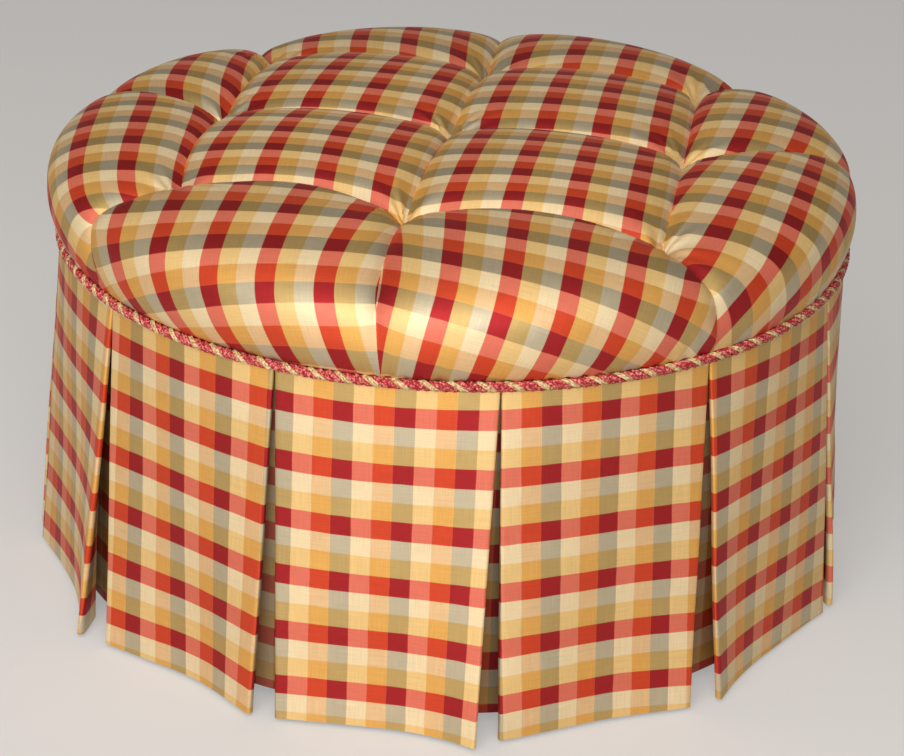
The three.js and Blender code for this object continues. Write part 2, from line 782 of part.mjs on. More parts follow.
// The line of a section moved sideways by half its thickness, square to its run
function moved(line, distance) {
  return line.map((point, i) => {
    const before = line[Math.max(i - 1, 0)];
    const after = line[Math.min(i + 1, line.length - 1)];
    const from = point.clone().sub(before).normalize();
    const to = after.clone().sub(point).normalize();
    const first = i === 0 ? to : from;
    const second = i === line.length - 1 ? from : to;
    const side = new THREE.Vector2(-first.y - second.y, first.x + second.x).normalize();
    const spread = side.dot(new THREE.Vector2(-second.y, second.x));
    return point.clone().addScaledVector(side, distance / spread);
  });
}

function hungSheet(section, shares, top, bottom, thickness, turn) {
  const sides = [1, -1].map((side) => shares.map((drop) => {
    const level = top + (bottom - top) * drop;
    return moved(section(drop), side * thickness / 2).map((point) => {
      const at = new THREE.Vector3(point.x, -point.y, level);
      return at.applyAxisAngle(new THREE.Vector3(0, 0, 1), turn);
    });
  }));
  return thickSheet(sides[0], sides[1]);
}

const panelPitch = fullTurn / panelCount;
const panelHalfWidth = panelTop * panelPitch / 2 - (panelThickness + pleatGap) / 2;

function panelGeometry(turn) {
  const at = (across, depth, drop) => skirtPoint(
    across, depth, drop, panelHalfWidth, panelTop, panelFlare, cornerKick);
  const section = (drop) => {
    const depth = foldDepthTop + (foldDepthHem - foldDepthTop) * drop;
    const end = panelHalfWidth - returnWidth;
    const face = panelShares.map((share) => at(share * panelHalfWidth, 0, drop));
    return [
      at(-end, depth, drop), at(-panelHalfWidth, depth, drop),
      ...face,
      at(panelHalfWidth, depth, drop), at(end, depth, drop),
    ];
  };
  return hungSheet(section, dropShares, skirtTop, hemHeight, panelThickness, turn);
}

function backingGeometry(turn) {
  const middle = backingInner + backingThickness / 2;
  const section = (drop) => backingShares.map((share) => {
    const sweep = share * backingHalfWidth / middle;
    const radius = middle + backingFlare * drop;
    return new THREE.Vector2(radius * Math.sin(sweep), radius * Math.cos(sweep));
  });
  const hem = hemHeight + backingLift;
  return hungSheet(section, backingDropShares, skirtTop, hem, backingThickness, turn);
}

// Assembly
const silk = finish(cottons.silk, 0.45);
const lining = finish(cottons.lining, 0.7);
const plywood = finish(woods.ply, 0.65);
const pine = finish(woods.pine, 0.7);
const steel = finish(plain.steel, 0.35, 1);

add('deck', deckGeometry(), plywood);
add('side_hoop', ringOf(hoopInner, deckRadius, hoopBottom, hoopTop), plywood);
add('lower_ring', lowerRingGeometry(), plywood);
add('dust_cover', dustCoverGeometry(), finish(plain.glide, 0.9));
[0, 1, 2, 3].forEach((k) => add(`post_${k + 1}`, postGeometry(k * Math.PI / 2), pine));
add('deck_rail_left', railGeometry(-1), pine);
add('deck_rail_right', railGeometry(1), pine);
footPlaces.forEach((place, k) => {
  add(`foot_${k + 1}`, footGeometry(place), finish(woods.foot, 0.5));
  add(`hanger_bolt_${k + 1}`, boltGeometry(place), steel);
  add(`glide_${k + 1}`, glideGeometry(place), finish(plain.glide, 0.5));
});

add('foam_core', foamGeometry(), finish(plain.foam, 0.95));
add('cushion_cover', coverGeometry(), silk);
tufts.forEach((tuft, k) => {
  add(`tuft_tie_${k + 1}`, tieGeometry(tuft), finish(plain.twine, 0.8));
});

add('tack_strip', ringOf(tackStripInner, tackStripInner + tackStripThickness,
  tackStripTop - tackStripDepth, tackStripTop), finish(plain.twine, 0.9));
add('trim_cord', trimGeometry(), finish(cottons.rope, 0.6));
for (let k = 0; k < panelCount; k++) {
  const turn = firstPanelTurn + k * panelPitch;
  add(`skirt_panel_${k + 1}`, panelGeometry(turn), silk);
  add(`pleat_backing_${k + 1}`, backingGeometry(turn + panelPitch / 2), lining);
}

export default tuffet;
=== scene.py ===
# %% [markdown]
# A round tuffet, dressed around its own frame. The carpentry comes in finished: deck,
# hoop, feet and their fixings keep their shapes and only get a finish here. The cloth
# is made here: a tufted cushion, twelve hung skirt panels, their backings and a twisted
# cord. All lengths are metres, the floor is z = 0 and the front faces -Y.

# %% Load the frame
import math
import bpy
import bmesh
import numpy as np
from mathutils import Matrix, Vector


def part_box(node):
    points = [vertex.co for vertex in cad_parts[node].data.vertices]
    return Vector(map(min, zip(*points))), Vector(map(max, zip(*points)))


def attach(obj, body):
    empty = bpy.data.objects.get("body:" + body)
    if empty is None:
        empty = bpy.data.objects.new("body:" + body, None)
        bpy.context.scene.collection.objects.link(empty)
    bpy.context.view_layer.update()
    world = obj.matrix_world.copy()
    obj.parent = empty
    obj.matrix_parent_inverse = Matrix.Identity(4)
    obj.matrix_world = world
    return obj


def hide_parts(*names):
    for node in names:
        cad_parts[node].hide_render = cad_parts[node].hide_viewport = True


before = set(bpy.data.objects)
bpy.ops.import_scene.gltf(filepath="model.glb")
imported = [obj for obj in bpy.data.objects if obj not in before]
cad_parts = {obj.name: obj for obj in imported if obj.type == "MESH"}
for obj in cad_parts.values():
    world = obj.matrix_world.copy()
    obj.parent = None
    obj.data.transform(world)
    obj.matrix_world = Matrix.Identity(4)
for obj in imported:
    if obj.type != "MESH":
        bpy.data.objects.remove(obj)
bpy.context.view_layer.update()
print("nodes in the frame:", len(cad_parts))

# %% [markdown]
# The cloth pieces have to sit on the carpentry, so their sizes are read from it: the deck
# gives the level of the cushion's foot, and the trim gives the cord's own level and the
# radius of everything that is sewn to it.

# %% Sizes read from the frame
MM = 0.001
TURN = 2 * math.pi
deck_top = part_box("deck")[1].z
cover_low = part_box("cushion_cover")[0]
cord_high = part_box("trim_cord")[1]
cord_diameter = 10 * MM
cord_radius = cord_high.x - cord_diameter / 2
skirt_low, skirt_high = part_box("skirt_panel_1")
skirt_top, skirt_hem = skirt_high.z, skirt_low.z
print(f"cord radius {cord_radius:.4f}, skirt from {skirt_hem:.4f} to {skirt_top:.4f}")

# %% [markdown]
# A finish is a small network of nodes. Written as Python sums it stays readable, so one
# class wraps a socket and turns + - * / into Math nodes, and one method makes any other
# node from its kind, its settings and the values or links of its sockets.

# %% Node sums


class Value:
    """A socket that can be used in Python sums."""

    def __init__(self, tree, socket):
        self.tree = tree
        self.socket = socket

    def __add__(self, other):
        return self.tree.maths("ADD", self, other)

    def __radd__(self, other):
        return self.tree.maths("ADD", other, self)

    def __sub__(self, other):
        return self.tree.maths("SUBTRACT", self, other)

    def __rsub__(self, other):
        return self.tree.maths("SUBTRACT", other, self)

    def __mul__(self, other):
        return self.tree.maths("MULTIPLY", self, other)

    def __rmul__(self, other):
        return self.tree.maths("MULTIPLY", other, self)

    def __truediv__(self, other):
        return self.tree.maths("DIVIDE", self, other)


class Nodes:
    """A node tree with one way to make a node."""

    def __init__(self, tree):
        self.tree = tree

    def node(self, kind, settings=None, inputs=None, output=0):
        made = self.tree.nodes.new(kind)
        for name, value in (settings or {}).items():
            if name == "stops":
                self.fill_ramp(made.color_ramp, value)
            else:
                setattr(made, name, value)
        for key, value in (inputs or {}).items():
            self.feed(made.inputs[key], value)
        return Value(self, made.outputs[output])

    def feed(self, socket, value):
        if isinstance(value, Value):
            self.tree.links.new(value.socket, socket)
        else:
            socket.default_value = value

    def fill_ramp(self, ramp, stops):
        while len(ramp.elements) > 1:
            ramp.elements.remove(ramp.elements[-1])
        ramp.elements[0].position = stops[0][0]
        ramp.elements[0].color = stops[0][1]
        for position, colour in stops[1:]:
            ramp.elements.new(position).color = colour

    def maths(self, operation, *values):
        return self.node("ShaderNodeMath", {"operation": operation}, dict(enumerate(values)))

    def fraction(self, value):
        return self.maths("FRACT", value)

    def sine(self, value):
        return self.maths("SINE", value)


class Finish(Nodes):
    """A material whose surface is one Principled shader."""

    def __init__(self, name, **constants):
        self.material = bpy.data.materials.new(name)
        self.material.use_nodes = True
        super().__init__(self.material.node_tree)
        self.shader = self.tree.nodes["Principled BSDF"]
        for key, value in constants.items():
            self.shader.inputs[key.replace("_", " ")].default_value = value

    def set(self, socket, value):
        self.feed(self.shader.inputs[socket], value)

    def place(self):
        return self.node("ShaderNodeTexCoord", output=3)

    def cloth(self):
        return self.node("ShaderNodeUVMap", {"uv_map": "cloth"})

    def parts(self, vector):
        split = self.node("ShaderNodeSeparateXYZ", inputs={0: vector})
        return [Value(self, socket) for socket in split.socket.node.outputs]

    def vector(self, x, y, z=0.0):
        return self.node("ShaderNodeCombineXYZ", inputs={0: x, 1: y, 2: z})

    def stretched(self, vector, scale):
        return self.node("ShaderNodeMapping", inputs={"Vector": vector, "Scale": scale})

    def noise(self, vector, scale, detail=2.0, roughness=0.5):
        values = {"Vector": vector, "Scale": scale, "Detail": detail, "Roughness": roughness}
        return self.node("ShaderNodeTexNoise", inputs=values)

    def mix(self, factor, a, b, blend="MIX"):
        settings = {"data_type": "RGBA", "blend_type": blend}
        return self.node("ShaderNodeMix", settings, {0: factor, 6: a, 7: b}, output=2)

    def shade(self, colour, factor):
        grey = self.node("ShaderNodeCombineColor", inputs={0: factor, 1: factor, 2: factor})
        return self.mix(1.0, colour, grey, "MULTIPLY")

    def bump(self, height, distance, strength=1.0, under=None):
        values = {"Height": height, "Distance": distance, "Strength": strength}
        if under is not None:
            values["Normal"] = under
        return self.node("ShaderNodeBump", inputs=values)


def linear(red, green, blue):
    """A colour as seen on screen, 0 to 255, as the linear values that nodes take."""
    shares = [value / 255 for value in (red, green, blue)]
    low = [share / 12.92 for share in shares]
    high = [((share + 0.055) / 1.055) ** 2.4 for share in shares]
    return tuple(h if s > 0.04045 else l for s, l, h in zip(shares, low, high)) + (1.0,)


# %% [markdown]
# The cover is a silk taffeta woven as a plaid. Real plaid has no printed squares: there
# are three colours of warp and three of weft in equal stripes, and nine colours appear
# where they cross. The finish does the same: three ramps along the warp, one for each
# colour of yarn, chosen by the stripe across it. Silk also shines in the colour of its
# own yarns, as metal does, and the dull sage warp lets more of the weft shine through,
# so the metallic share changes with the stripe. The pattern reads the piece's own cloth
# map, in metres of cloth, so it bends with every fold.

# %% The plaid silk
stripe = 18.3 * MM
repeat = 3 * stripe
edge_blur = 0.006
yarn_wander = 1.2 * MM
fine_slubs, long_slubs = 1400, 34
rib_height, crush_height = 0.10 * MM, 0.7 * MM
crossings = {
    "sage": [linear(174, 40, 42), linear(200, 168, 106), linear(202, 187, 156)],
    "cream": [linear(231, 118, 92), linear(242, 202, 131), linear(246, 221, 174)],
    "gold": [linear(217, 71, 35), linear(234, 176, 90), linear(238, 197, 144)],
}
shine = {"sage": 0.78, "cream": 0.30, "gold": 0.50}


def stripes(colours):
    """Ramp stops for equal stripes that repeat."""
    count = len(colours)
    stops = []
    for i, colour in enumerate(colours):
        stops.append((max(0.0, i / count + edge_blur * (i > 0)), colour))
        if i < count - 1:
            stops.append(((i + 1) / count - edge_blur, colour))
    stops.append((1 - 2 * edge_blur, colours[-1]))
    stops.append((1.0, colours[0]))
    return stops


def grey(value):
    return (value, value, value, 1.0)


def plaid(name, painted_shade_factor=1.0):
    silk = Finish(name)
    place = silk.place()
    u, v, _ = silk.parts(silk.cloth())
    warp_wander = silk.noise(place, 45.0, 1.0) - 0.5
    weft_wander = silk.noise(place, 38.0, 1.0) - 0.5
    across = silk.fraction((u + warp_wander * yarn_wander) / repeat)
    along = silk.fraction((v + weft_wander * yarn_wander) / repeat)
    rows = [silk.node("ShaderNodeValToRGB", {"stops": stripes(colours)}, {0: along})
            for colours in crossings.values()]
    in_cream = silk.node("ShaderNodeValToRGB", {"stops": stripes([grey(s) for s in (0, 1, 1)])},
                         {0: across})
    in_gold = silk.node("ShaderNodeValToRGB", {"stops": stripes([grey(s) for s in (0, 0, 1)])},
                        {0: across})
    colour = silk.mix(in_gold, silk.mix(in_cream, rows[0], rows[1]), rows[2])
    warp_slub = silk.noise(silk.vector(u * fine_slubs, v * long_slubs), 1.0, 2.0)
    weft_slub = silk.noise(silk.vector(u * long_slubs, v * fine_slubs), 1.0, 2.0)
    cloud = silk.noise(place, 9.0, 2.0)
    slub = (warp_slub + weft_slub) * 0.30 + cloud * 0.16 + 0.62
    # A factor below 1 darkens the whole cloth as painted shade.
    silk.set("Base Color", silk.shade(colour, slub * painted_shade_factor))
    sheen = [grey(share) for share in shine.values()]
    silk.set("Metallic", silk.node("ShaderNodeValToRGB", {"stops": stripes(sheen)}, {0: across}))
    silk.set("Roughness", 0.5 + warp_slub * 0.14)
    rib = silk.bump(warp_slub + weft_slub, rib_height, 0.5)
    crush = silk.noise(place, 70.0, 3.0)
    silk.set("Normal", silk.bump(crush, crush_height, 0.5, rib))
    return silk.material


plaid_silk = plaid("plaid_silk")
# The backings take a half-bright copy of the plaid: painted shade for the deep shadow in the pleats.
shaded_backing_silk = plaid("shaded_backing_silk", 0.5)

# %% [markdown]
# The panels are lined with plain cream cotton sateen: a fine diagonal twill, a little
# uneven in tone.

# %% The lining
twill_pitch = 0.9 * MM


def sateen(name):
    cotton = Finish(name)
    place = cotton.place()
    u, v, _ = cotton.parts(cotton.cloth())
    twill = cotton.sine((u + v) * (TURN / twill_pitch))
    cloud = cotton.noise(place, 12.0, 3.0)
    # The twill term slightly darkens the twill's grooves: painted shade.
    cotton.set("Base Color", cotton.shade(linear(222, 204, 168), 0.86 + cloud * 0.2 + twill * 0.02))
    cotton.set("Roughness", 0.62 + cloud * 0.1)
    cotton.set("Normal", cotton.bump(twill, 0.05 * MM, 0.4))
    return cotton.material


lining = sateen("lining")

# %% [markdown]
# The cushion is the showpiece. Nine blind tufts pull it down in a square grid, and the
# spare cloth is folded into the valleys between them, so four square puffs lie inside
# eight that roll over the edge. A smooth dome pushed in by a formula gives that: each
# puff is a grid of its own whose rim lies in the valleys. The cloth map is measured
# along the surface, and each puff has its own start, because part of the plaid is
# hidden in every fold.

# %% The crown that the puffs stand on
across_pitch, along_pitch = 229 * MM, 212 * MM
tuft_depth, valley_depth = 50 * MM, 22 * MM
cushion_height, widest_height, overhang = 130 * MM, 46 * MM, 13 * MM
tuft_pulls = [(75 * MM, 0.8), (19 * MM, 0.2)]
dome_reach, crease_reach, dome_share = 65 * MM, 9 * MM, 0.74
tuft_wander = 14 * MM
tuft_shares = {
    (-1, -1): (0.0, 0.0, 1.0), (0, -1): (-0.5, -0.5, 1.06), (1, -1): (0.43, -0.5, 1.0),
    (-1, 0): (-0.93, 0.21, 1.0), (0, 0): (-0.43, 0.0, 1.0), (1, 0): (0.0, 0.0, 1.0),
    (-1, 1): (-0.86, -0.21, 1.0), (0, 1): (-0.43, -0.64, 1.06), (1, 1): (-0.5, 0.43, 0.96),
}
tufts, tuft_depths = {}, {}
for (i, j), (across, along, depth_share) in tuft_shares.items():
    tufts[i, j] = (i * across_pitch + across * tuft_wander, j * along_pitch + along * tuft_wander)
    tuft_depths[i, j] = tuft_depth * depth_share
valley_bow = 28 * MM
bows = {
    ((-1, -1), (0, -1)): valley_bow, ((0, -1), (1, -1)): 0.71 * valley_bow,
    ((-1, -1), (-1, 0)): 0.29 * valley_bow,
}
squareness = 2.7
underside_curve = 2.2
neck_inset, neck_gap, hem_inset = 0.6 * MM, 0.4 * MM, 11.5 * MM


def crown_profile():
    widest = cord_radius + overhang
    neck = cord_radius - neck_inset
    rise = cushion_height - widest_height
    sweep = np.linspace(0, math.pi / 2, 200)
    power = 2 / squareness
    radius = widest * np.sin(sweep) ** power
    level = deck_top + widest_height + rise * np.maximum(np.cos(sweep), 0) ** power
    drop = np.linspace(0, 1, 24)[1:]
    neck_level = cord_high.z + neck_gap
    radius = np.append(radius, widest - (widest - neck) * drop ** underside_curve)
    level = np.append(level, deck_top + widest_height - (deck_top + widest_height - neck_level) * drop)
    hem = cord_radius - hem_inset
    radius = np.append(radius, [hem, hem])
    level = np.append(level, [deck_top, cover_low.z])
    return np.stack([radius, level], 1)


crown = crown_profile()
steps = np.linalg.norm(np.diff(crown, axis=0), axis=1)
runs = np.concatenate([[0.0], np.cumsum(steps)])
along_crown = np.gradient(crown, axis=0)
along_crown /= np.linalg.norm(along_crown, axis=1)[:, None]
out_of_crown = np.stack([-along_crown[:, 1], along_crown[:, 0]], 1)
neck_run, deck_run, hem_run = runs[-3], runs[-2], runs[-1]


def crown_points(turn, run, sunk):
    """Points at a turn and a run down the crown, sunk below it."""
    radius = np.interp(run, runs, crown[:, 0]) - sunk * np.interp(run, runs, out_of_crown[:, 0])
    level = np.interp(run, runs, crown[:, 1]) - sunk * np.interp(run, runs, out_of_crown[:, 1])
    return np.stack([radius * np.sin(turn), -radius * np.cos(turn), level], -1)


# %% How deep the valleys are
def gather(distance, length, reach):
    """1 at both ends of a line of this length, fading inwards over the reach."""
    return np.cosh((distance - length / 2) / reach) / np.cosh(length / 2 / reach)


def valley_floor(share, start, end):
    """Depth along the valley from one tuft to the next."""
    length = math.dist(tufts[start], tufts[end])
    near = 0.0
    for reach, weight in tuft_pulls:
        near = near + weight * gather(share * length, length, reach)
    level = tuft_depths[start] * (1 - share) + tuft_depths[end] * share
    return valley_depth + (level - valley_depth) * near


def side_floor(fall, length, start, depth):
    """Depth along the valley from a tuft over the edge to the cord."""
    near = 0.0
    for reach, weight in tuft_pulls:
        near = near + weight * np.exp(-fall * length / reach)
    return depth * (1 - fall ** 3) + (tuft_depths[start] - depth) * near * (1 - fall)


def spread(depth, points, reach, rest=0.0, rounds=500, haste=1.75):
    """Fills a grid of depths from its rim, as foam under taut cloth does: the pull fades
    away from the rim over the reach. Solved by sweeps on a chequerboard, each of which
    goes further than the mean of its neighbours by the haste, to need fewer rounds."""
    depth = depth.copy()
    step_a = np.linalg.norm(np.diff(points, axis=0), axis=2)
    step_b = np.linalg.norm(np.diff(points, axis=1), axis=2)
    step_a, step_b = np.maximum(step_a, 1e-4), np.maximum(step_b, 1e-4)
    before_a, after_a = step_a[:-1, 1:-1], step_a[1:, 1:-1]
    before_b, after_b = step_b[1:-1, :-1], step_b[1:-1, 1:]
    low_a, high_a = 2 / before_a / (before_a + after_a), 2 / after_a / (before_a + after_a)
    low_b, high_b = 2 / before_b / (before_b + after_b), 2 / after_b / (before_b + after_b)
    total = low_a + high_a + low_b + high_b + 1 / reach ** 2
    i, j = np.indices(total.shape)
    for _ in range(rounds):
        for colour in (0, 1):
            pull = (low_a * depth[:-2, 1:-1] + high_a * depth[2:, 1:-1]
                    + low_b * depth[1:-1, :-2] + high_b * depth[1:-1, 2:]
                    + rest / reach ** 2) / total
            core = depth[1:-1, 1:-1]
            core += haste * ((i + j) % 2 == colour) * (pull - core)
    return depth


def puff_depth(rim, turn, run, rest=0.0):
    """Depths inside a rim: a broad dome and a tight crease together."""
    points = crown_points(turn, run, 0.0)
    dome = spread(rim, points, dome_reach, rest)
    crease = spread(rim, points, crease_reach, rest)
    return dome_share * dome + (1 - dome_share) * crease


def drift(x, y, seed, length):
    """A slow, seeded wave from -1 to 1."""
    random = np.random.default_rng(seed)
    total = 0.0
    for _ in range(4):
        angle, phase = random.uniform(0, TURN, 2)
        pace = TURN / length * random.uniform(0.7, 1.4)
        total = total + np.sin((x * math.cos(angle) + y * math.sin(angle)) * pace + phase)
    return total / 4


# %% Small folds at the tufts and at the cord
pucker_depth, pucker_reach, puckers_round = 2.5 * MM, 30 * MM, 11
pucker_start, pucker_sway, pucker_turn = 7 * MM, 2.0, 1.7
gather_depth, gather_reach, gathers_round = 1.0 * MM, 24 * MM, 150
gather_slant = 60


def puckers(x, y):
    """Short folds that run out from every tuft, each with its own turn."""
    depth = 0.0
    for number, (tuft_x, tuft_y) in enumerate(tufts.values()):
        away = np.hypot(x - tuft_x, y - tuft_y)
        angle = np.arctan2(y - tuft_y, x - tuft_x)
        bent = puckers_round * angle + pucker_sway * np.sin(3 * angle + number) + pucker_turn * number
        grown = 1 - np.exp(-(away / pucker_start) ** 2)
        depth = depth + np.sin(bent) * grown * np.exp(-away / pucker_reach)
    return pucker_depth * depth


def cord_gathers(turn, run):
    """The cover is eased into the seam, so it ripples a little just above the cord."""
    near = np.exp(-(neck_run - run) / gather_reach)
    uneven = 0.5 + 0.5 * np.sin(5 * turn + 2.0 * np.sin(7 * turn))
    bent = gathers_round * turn + 3.0 * np.sin(11 * turn) + (neck_run - run) * gather_slant
    return gather_depth * near * uneven * np.sin(bent)


# %% [markdown]
# Nobody can lay a plaid straight over a tufted cushion: in every puff the cloth starts at
# another place in the pattern, leans a little, and is eased and gathered into the folds.
# Each puff has eight values for that, in repeats of the plaid. The first four belong to
# the warp: start, lean, ease and gather. The others belong to the weft: start, ease, tilt
# and fan.

# %% How the plaid lies on each puff
puff_lays = [
    (-0.60, -0.15, -0.80, 0.80, 0.90, -0.05, -0.10, 0.15),
    (0.30, 0.25, -0.75, 0.70, 0.55, 0.05, 0.00, 0.15),
    (-0.15, 0.05, -0.65, 0.55, -0.20, 0.00, -0.10, 0.10),
    (0.00, 0.10, -0.45, 0.50, 0.60, 0.05, 0.00, 0.10),
    (0.00, 0.00, -0.20, 0.40, 0.15, 0.15, -0.15, 0.45),
    (0.80, 0.20, -0.20, -0.05, 0.80, -0.25, -0.15, 0.35),
    (1.15, 0.20, 0.35, 0.00, -0.10, -0.15, -0.05, 0.10),
    (0.05, -0.30, 0.25, -0.30, 0.65, 0.10, 0.00, 0.05),
    (0.95, 0.35, 0.30, -0.15, 0.15, -0.05, 0.30, -0.05),
    (0.85, 0.25, 0.65, 0.00, 0.00, -0.20, 0.15, 0.25),
    (0.90, 0.20, -0.05, -0.10, 0.65, -0.65, 0.05, -0.35),
    (0.10, -0.20, -0.15, 0.45, 0.00, 0.00, -0.05, 0.30),
]
inner_count = 4


def laid(cloth, puff):
    """A cloth map shifted, leaned and eased as the cover was on this puff."""
    s = np.linspace(-1, 1, cloth.shape[0])[:, None]
    t = np.linspace(-1, 1, cloth.shape[1])[None, :]
    start, lean, ease, gathered, weft_start, weft_ease, tilt, fan = puff_lays[puff]
    far = t if puff < inner_count else -t
    warp = start + lean * s + ease * t + gathered * s ** 2 * (1 + far)
    weft = weft_start + weft_ease * s + tilt * t + fan * s * t
    return cloth + repeat * np.stack([warp, weft], -1)


# %% Puffs as grids
puff_cells = 56


def shares(count):
    """Shares from 0 to 1 that crowd a little towards both ends."""
    even = np.linspace(0, 1, count + 1)
    return 0.35 * even + 0.65 * (0.5 - 0.5 * np.cos(math.pi * even))


def arc_lengths(points, axis):
    """Length along a grid of points from its middle line, in metres."""
    steps = np.linalg.norm(np.diff(points, axis=axis), axis=-1)
    length = np.concatenate([np.zeros_like(np.take(steps, [0], axis)), np.cumsum(steps, axis)], axis)
    middle = np.take(length, [length.shape[axis] // 2], axis)
    return length - middle


def edge_line(start, end, bow, share):
    """Plan points from one tuft to the next along a valley that bows sideways."""
    (x0, y0), (x1, y1) = tufts[start], tufts[end]
    length = math.hypot(x1 - x0, y1 - y0)
    aside = bow * np.sin(math.pi * share)
    x = x0 + (x1 - x0) * share - (y1 - y0) / length * aside
    y = y0 + (y1 - y0) * share + (x1 - x0) / length * aside
    return np.stack([x, y], -1)


def bow_of(start, end):
    """A valley bows to one side, seen from either puff."""
    if (start, end) in bows:
        return bows[(start, end)]
    return -bows.get((end, start), 0.0)


def inner_puff(column, row):
    share = shares(puff_cells)
    corners = [(column, row), (column + 1, row), (column + 1, row + 1), (column, row + 1)]
    low = edge_line(corners[0], corners[1], bow_of(corners[0], corners[1]), share)
    high = edge_line(corners[3], corners[2], bow_of(corners[3], corners[2]), share)
    left = edge_line(corners[0], corners[3], bow_of(corners[0], corners[3]), share)
    right = edge_line(corners[1], corners[2], bow_of(corners[1], corners[2]), share)
    a, b = share[:, None, None], share[None, :, None]
    plan = ((1 - b) * low[:, None] + b * high[:, None] + (1 - a) * left[None] + a * right[None]
            - (1 - a) * (1 - b) * low[0] - a * (1 - b) * low[-1] - (1 - a) * b * high[0] - a * b * high[-1])
    x, y = plan[..., 0], plan[..., 1]
    turn, run = np.arctan2(x, -y), np.hypot(x, y)
    rim = np.zeros_like(x)
    rim[:, 0] = valley_floor(share, corners[0], corners[1])
    rim[:, -1] = valley_floor(share, corners[3], corners[2])
    rim[0] = valley_floor(share, corners[0], corners[3])
    rim[-1] = valley_floor(share, corners[1], corners[2])
    points = crown_points(turn, run, puff_depth(rim, turn, run) + puckers(x, y))
    middle = plan[puff_cells // 2, puff_cells // 2]
    cloth_x = middle[0] + arc_lengths(points, 0)
    cloth_y = middle[1] + arc_lengths(points, 1)
    return points, np.stack([-cloth_y, cloth_x], -1)


edge_corners = [(0, -1), (1, -1), (1, 0), (1, 1), (0, 1), (-1, 1), (-1, 0), (-1, -1), (0, -1)]
valley_turns = np.radians([1.5, 47.5, 101, 140, 183.5, 223, 260, 315, 361.5])
valley_sways = np.radians([0, 0, 4, 0, 0, 0, -3, -4.5, 0])
side_valley_depth, puff_sink = 32 * MM, 8 * MM
side_depths = [share * side_valley_depth for share in (0.62, 0.62, 0.56, 0.81, 1, 0.81, 0.5, 0.62)]
outer_sinks = [share * puff_sink for share in (0, 1, 0.25, 0.5, 1, 0.25, 0, 0)]
fall_rows = 84
brow_run = 0.80
brow_ease = 16 * MM


def outer_puff(k):
    share = shares(puff_cells)
    start, end = edge_corners[k], edge_corners[k + 1]
    line = edge_line(start, end, bow_of(start, end), share)
    a, fall = np.meshgrid(share, np.linspace(0, 1, fall_rows + 1) ** 1.1, indexing="ij")
    x, y = line[:, :1], line[:, 1:]
    end_turn = valley_turns[k] + (valley_turns[k + 1] - valley_turns[k]) * a
    sway = valley_sways[k] + (valley_sways[k + 1] - valley_sways[k]) * a
    raw = np.arctan2(x, -y)
    start_turn = raw + TURN * np.round((end_turn - raw) / TURN)
    start_run = np.hypot(x, y)
    turn = start_turn + (end_turn - start_turn) * fall + sway * np.sin(math.pi * fall)
    run = start_run + (neck_run - start_run) * fall
    rim = np.zeros_like(a)
    rim[:, 0] = valley_floor(share, start, end)
    rim[0] = side_floor(fall[0], neck_run - start_run[0, 0], start, side_depths[k])
    rim[-1] = side_floor(fall[-1], neck_run - start_run[-1, 0], end, side_depths[(k + 1) % 8])
    depth = puff_depth(rim, turn, run, outer_sinks[k])
    depth += puckers(run * np.sin(turn), -run * np.cos(turn)) + cord_gathers(turn, run)
    tail = np.array([deck_run, hem_run])
    rows = turn.shape[0]
    turn = np.concatenate([turn, end_turn[:, :1].repeat(2, 1)], 1)
    run = np.concatenate([run, np.tile(tail, (rows, 1))], 1)
    depth = np.concatenate([depth, np.zeros((rows, 2))], 1)
    points = crown_points(turn, run, depth)
    fold = brow_run * neck_run
    middle = (valley_turns[k] + valley_turns[k + 1]) / 2
    over = brow_ease * np.logaddexp(0, (run - fold) / brow_ease)
    flat = run - over
    cloth_x = flat * np.sin(turn) + over * math.sin(middle)
    cloth_y = -flat * np.cos(turn) - over * math.cos(middle)
    return points, np.stack([-cloth_y, cloth_x], -1)


# %% Joining grids to a piece
def add_piece(mesh, name):
    piece = bpy.data.objects.new(name, mesh)
    bpy.context.scene.collection.objects.link(piece)
    return piece


def grids_to_mesh(name, grids, weld=0.02 * MM, crease=50):
    """One mesh from grids of points with a cloth map for each, welded where they meet. A
    grid may name the material slot of its faces."""
    points, faces, maps, slots = [], [], [], []
    for grid, cloth, *slot in grids:
        rows, columns = grid.shape[:2]
        base = sum(len(p) for p in points)
        index = base + np.arange(rows * columns).reshape(rows, columns)
        quads = np.stack([index[:-1, :-1], index[1:, :-1], index[1:, 1:], index[:-1, 1:]], -1)
        points.append(grid.reshape(-1, 3))
        faces.append(quads.reshape(-1, 4))
        slots += (slot or [0]) * (quads.size // 4)
        maps.append(cloth.reshape(-1, 2))
    points, faces, maps = np.concatenate(points), np.concatenate(faces), np.concatenate(maps)
    mesh = bpy.data.meshes.new(name)
    mesh.from_pydata(points.tolist(), [], faces.tolist())
    mesh.polygons.foreach_set("material_index", slots)
    cloth = mesh.uv_layers.new(name="cloth")
    cloth.data.foreach_set("uv", maps[faces.reshape(-1)].reshape(-1).astype(np.float32))
    work = bmesh.new()
    work.from_mesh(mesh)
    bmesh.ops.remove_doubles(work, verts=work.verts, dist=weld)
    bmesh.ops.dissolve_degenerate(work, edges=work.edges, dist=weld / 2)
    rim = [edge for edge in work.edges if edge.is_boundary]
    if rim:
        bmesh.ops.holes_fill(work, edges=rim, sides=0)
    bmesh.ops.recalc_face_normals(work, faces=work.faces)
    for face in work.faces:
        face.smooth = True
    for edge in work.edges:
        if edge.is_manifold and edge.calc_face_angle() > math.radians(crease):
            edge.smooth = False
    work.to_mesh(mesh)
    work.free()
    return mesh


